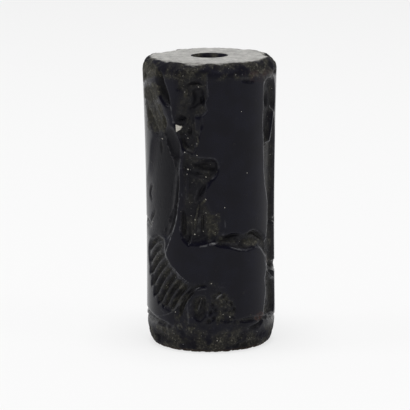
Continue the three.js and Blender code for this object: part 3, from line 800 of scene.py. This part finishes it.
# Painted highlights: tiny bright specks painted into the earth and crust as glints of light.
painted_glints = m.ramp(m.noise(place, 9.0, 2.0, 0.5), 0.735, 0.76)
painted_glints = m.times(painted_glints, m.most(lodged, crusty))
colour = blend(painted_glints, colour, (0.42, 0.42, 0.42))
foot_stain = m.times(m.ramp(up, 2.6, 0.2), m.ramp(m.noise(place, 1.1, 4.0, 0.6), 0.35, 0.7))
colour = blend(m.times(foot_stain, 0.35), colour, (0.017, 0.015, 0.012))
colour = blend(m.ramp(up, 0.34, 0.05), colour, (0.030, 0.018, 0.010))
middle_gap = m.vector("LENGTH", m.vector("MULTIPLY", place, (1.0, 1.0, 0.0)))
face = m.plus(middle_gap, m.times(m.minus(m.noise(place, 1.3, 5.0, 0.65), 0.5), 0.9))
normal_up = m.parts(m.node("ShaderNodeNewGeometry").outputs["True Normal"])[2]
top_dust = m.times(m.ramp(face, 5.2, 4.85), m.ramp(normal_up, 0.3, 0.8))
top_dust = m.times(top_dust, m.ramp(up, 24.4, 24.8))
dust_paleness = m.ramp(m.noise(place, 1.7, 6.0, 0.75), 0.33, 0.66)
dust_tone = blend(dust_paleness, (0.17, 0.166, 0.154), (0.42, 0.412, 0.388))
colour = blend(m.times(top_dust, 0.95), colour, dust_tone)
rough = m.ramp(in_cut, 0.0, 1.0, 0.17, 0.34)
rough = m.most(rough, m.times(m.most(film, ends), 0.75))
rough = m.most(rough, m.times(m.most(earth, arris), 0.6))
rough = m.plus(rough, m.times(m.minus(0.30, rough), top_dust))
rough = m.plus(rough, m.times(m.noise(place, 2.2, 3.0), 0.08))
grain = m.plus(m.times(m.noise(place, 9.0, 4.0, 0.6), m.ramp(in_cut, 0.0, 1.0, 0.06, 1.0)),
               m.times(m.noise(place, 0.8, 2.0), 0.15))
grain = m.plus(grain, m.times(m.noise(place, 6.0, 5.0, 0.7), m.most(ends, crusty)))
bump = m.node("ShaderNodeBump", {"Strength": 0.7, "Distance": 0.07 * MM, "Height": grain})
shader = m.node("ShaderNodeBsdfPrincipled", {
    "Base Color": colour, "Roughness": rough, "Normal": bump.outputs[0], "IOR": 1.26,
})
m.feed(m.node("ShaderNodeOutputMaterial").inputs["Surface"], shader.outputs[0])

seal = meshed("seal_stone_carved", [])
finish_with(carving, seal, {
    "Section": drawn_section, "Cuts": drawn_cuts, "Arrises": drawn_arrises, "Number of cuts": len(cuts),
    "Columns": COLUMNS, "Front share": FRONT_SHARE, "Waist radius": WAIST_RADIUS, "Height": HEIGHT,
    "Hand wobble": 0.16, "Tool marks": 0.2, "Edge wear": 0.15, "Unit": MM, "Stone": stone,
})
for drawn in (drawn_section, drawn_cuts, drawn_arrises):
    bpy.data.objects.remove(drawn)
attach(seal, "root")
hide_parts("seal_stone")

# ---------------------------------------------------------------------------------------------
# Lime. A three-cornered cream crumb of limestone is wedged under the worshipper's head, and small
# white grains cling to the wall: the listed ones where they show, the rest scattered in the cuts.

lime = bpy.data.materials.new("lime")
lime.use_nodes = True
lime.node_tree.nodes.clear()
m = Tree(lime.node_tree)
place = m.vector("SCALE", m.node("ShaderNodeTexCoord").outputs["Object"], 1 / MM)
cream = blend(m.noise(place, 2.0, 4.0), (0.34, 0.325, 0.285), (0.66, 0.63, 0.56))
pores = m.node("ShaderNodeBump", {"Strength": 0.5, "Distance": 0.03 * MM, "Height": m.noise(place, 7.0, 4.0)})
shader = m.node("ShaderNodeBsdfPrincipled", {
    "Base Color": cream, "Roughness": 0.85, "Normal": pores.outputs[0],
})
m.feed(m.node("ShaderNodeOutputMaterial").inputs["Surface"], shader.outputs[0])


def on_wall(across, up, rise):
    angle = across / WAIST_RADIUS
    radius = skin_radius(up) + rise
    return Vector((radius * math.sin(angle), -radius * math.cos(angle), up)) * MM


# The crumb: four corners across its face, the same four deeper in, and a blunt peak in the middle.
CRUMB = ((-3.04, 19.74), (-2.48, 19.58), (-2.62, 19.36), (-3.02, 19.12))
CRUMB_PEAK = (-2.84, 19.5)
outer = [on_wall(across, up, -0.1) for across, up in CRUMB]
inner = [on_wall(across, up, -0.55) for across, up in CRUMB]
count = len(CRUMB)
crumb_faces = [tuple(range(2 * count - 1, count - 1, -1))]
for i in range(count):
    j = (i + 1) % count
    crumb_faces += [(j, i, 2 * count), (i, j, count + j, count + i)]
crumb = meshed("lime_crumb", [*outer, *inner, on_wall(*CRUMB_PEAK, -0.02)], (), crumb_faces)
crumb.data.materials.append(lime)

# The grains that show: across, up, and the length of each.
SPECKS = (
    (-4.73, 18.33, 0.22), (-2.06, 18.59, 0.17), (-2.17, 17.48, 0.16), (-1.78, 16.07, 0.2),
    (-1.1, 17.24, 0.14), (-0.36, 15.53, 0.16), (2.7, 20.9, 0.1), (3.3, 15.55, 0.13),
    (1.22, 12.73, 0.12), (0.45, 11.99, 0.1), (-0.38, 13.43, 0.15), (-1.44, 11.68, 0.14),
    (-1.45, 10.34, 0.17), (0.05, 6.16, 0.16), (1.75, 3.12, 0.15), (0.53, 1.14, 0.15),
    (-1.01, 23.07, 0.15), (-3.22, 3.49, 0.12), (-1.14, 18.22, 0.12), (-6.4, 10.9, 0.12),
)
PEBBLE_SHARE = 0.78
drawn_specks = meshed("drawn_specks", [on_wall(across, up, 0) for across, up, _ in SPECKS])
set_values(drawn_specks, "size", "FLOAT", "POINT", [size * PEBBLE_SHARE * MM for _, _, size in SPECKS])

scatter = tree_with_inputs(
    "lime_grains",
    Object=("Stone", "Specks"),
    Float=("Grains to a square metre", "Smallest", "Largest"),
    Int=("Seed",),
    Material=("Material",),
)
t = Tree(scatter)
given = t.node("NodeGroupInput").outputs
carved = drawing("Stone")
near = t.node("GeometryNodeProximity", {0: carved}, target_element="FACES").outputs["Position"]
listed = t.node("GeometryNodeSetPosition", {"Geometry": drawing("Specks"), "Position": near})
listed = t.node("GeometryNodeMeshToPoints", {"Mesh": listed.outputs[0]}).outputs[0]
held = t.times(t.ramp(read("cut_depth"), 0.1, 0.3), t.plus(read("earth_share"), read("crust_share")))
spread = t.node("GeometryNodeDistributePointsOnFaces", {
    "Mesh": carved, "Seed": given["Seed"], "Density": t.times(given["Grains to a square metre"], held),
}).outputs[0]
random_size = t.node("FunctionNodeRandomValue", {"Seed": given["Seed"]}, data_type="FLOAT")
t.feed(random_size.inputs[2], given["Smallest"])
t.feed(random_size.inputs[3], given["Largest"])
spread = stored(spread, "size", random_size.outputs[1])
points = t.node("GeometryNodeJoinGeometry")
for some in (listed, spread):
    t.feed(points.inputs[0], some)
pebble = t.node("GeometryNodeMeshIcoSphere", {"Radius": 0.5, "Subdivisions": 2}).outputs[0]
corner = t.node("GeometryNodeInputPosition").outputs[0]
knock = t.vector("SUBTRACT", t.noise(corner, 1.7, 2.0, colour=True), (0.5, 0.5, 0.5))
knock = t.vector("SCALE", knock, 0.7)
pebble = t.node("GeometryNodeSetPosition", {"Geometry": pebble, "Offset": knock}).outputs[0]
random_turn = t.node("FunctionNodeRandomValue", {"Seed": given["Seed"]}, data_type="FLOAT_VECTOR")
t.feed(random_turn.inputs[1], (6.28, 6.28, 6.28))
random_build = t.node("FunctionNodeRandomValue", {"Seed": given["Seed"]}, data_type="FLOAT_VECTOR")
t.feed(random_build.inputs[0], (0.45, 0.45, 0.45))
t.feed(random_build.inputs[1], (1.15, 1.15, 1.15))
grains = t.node("GeometryNodeInstanceOnPoints", {
    "Points": points.outputs[0], "Instance": pebble, "Rotation": random_turn.outputs[0],
    "Scale": t.vector("SCALE", random_build.outputs[0], read("size")),
})
grains = t.node("GeometryNodeRealizeInstances", {"Geometry": grains.outputs[0]}).outputs[0]
grains = t.node("GeometryNodeSetMaterial", {"Geometry": grains, "Material": given["Material"]}).outputs[0]
t.feed(t.node("NodeGroupOutput").inputs[0], grains)

lime_grains = meshed("lime_grains", [])
finish_with(scatter, lime_grains, {
    "Stone": seal, "Specks": drawn_specks, "Grains to a square metre": 1.0e6, "Smallest": 0.03 * MM,
    "Largest": 0.08 * MM, "Seed": 7, "Material": lime,
})
bpy.data.objects.remove(drawn_specks)
for piece in (crumb, lime_grains):
    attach(piece, "root")
    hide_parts("seal_stone")

# ---------------------------------------------------------------------------------------------
# The studio: a pale floor that is lit a little from within, as a glass table is, a wide soft light
# overhead with two small ones beside it, a bright low band behind, and a long lens just above.

floor = meshed("floor", [(-1, -1, 0), (1, -1, 0), (1, 1, 0), (-1, 1, 0)], (), [(0, 1, 2, 3)])
paper = bpy.data.materials.new("pale_paper")
paper.use_nodes = True
for name, value in (
    ("Base Color", (0.22, 0.22, 0.22, 1)), ("Emission Color", (1, 1, 1, 1)), ("Emission Strength", 0.70),
    ("Roughness", 0.9), ("Specular IOR Level", 0.0),
):
    paper.node_tree.nodes["Principled BSDF"].inputs[name].default_value = value
floor.data.materials.append(paper)

world = bpy.data.worlds.new("soft_room")
bpy.context.scene.world = world
world.use_nodes = True
world.node_tree.nodes.clear()
w = Tree(world.node_tree)
_, towards_back, towards_top = w.parts(w.node("ShaderNodeTexCoord").outputs["Generated"])
low_band = w.times(w.ramp(towards_back, -0.55, 0.25, 0.12, 0.96), w.ramp(towards_top, 0.6, 0.3))
room = w.most(low_band, 0.25)
backdrop = w.node("ShaderNodeBackground", {"Color": (1, 1, 1, 1), "Strength": room})
w.feed(w.node("ShaderNodeOutputWorld").inputs[0], backdrop.outputs[0])


def soft_box(name, place, target, width, power):
    light = bpy.data.lights.new(name, "AREA")
    light.shape = "RECTANGLE"
    light.size = light.size_y = width
    light.energy = power
    lamp = in_scene(name, light)
    lamp.location = place
    lamp.rotation_euler = (Vector(target) - Vector(place)).to_track_quat("-Z", "Y").to_euler()


soft_box("top_light", (0.0, -0.04, 0.6), (0, 0, 0), 0.28, 2.9)
soft_box("left_light", (-0.30, -0.05, 0.28), (0, 0, 0.012), 0.12, 0.2)
soft_box("right_light", (0.26, -0.12, 0.30), (0, 0, 0.012), 0.10, 0.12)

MIDDLE = Vector((0, 0, HEIGHT / 2 * MM))
ELEVATION = math.radians(10.98)
CAMERA_GAP = 0.2154
AIM_LEFT, AIM_DOWN = 0.000466, 0.00058
LEAN = 0.0064
lens = bpy.data.cameras.new("camera")
lens.lens, lens.sensor_width = 218, 36
lens.clip_start, lens.clip_end = 0.01, 5
camera = in_scene("camera", lens)
camera.location = MIDDLE + Vector((0, -math.cos(ELEVATION), math.sin(ELEVATION))) * CAMERA_GAP
camera_up = Vector((0, math.sin(ELEVATION), math.cos(ELEVATION)))
aim = MIDDLE - Vector((1, 0, 0)) * AIM_LEFT - camera_up * AIM_DOWN
look = (aim - camera.location).to_track_quat("-Z", "Y")
camera.rotation_mode = "QUATERNION"
camera.rotation_quaternion = look @ Quaternion((0, 0, 1), -LEAN)
bpy.context.scene.camera = camera
bpy.context.scene.view_settings.view_transform = "Standard"
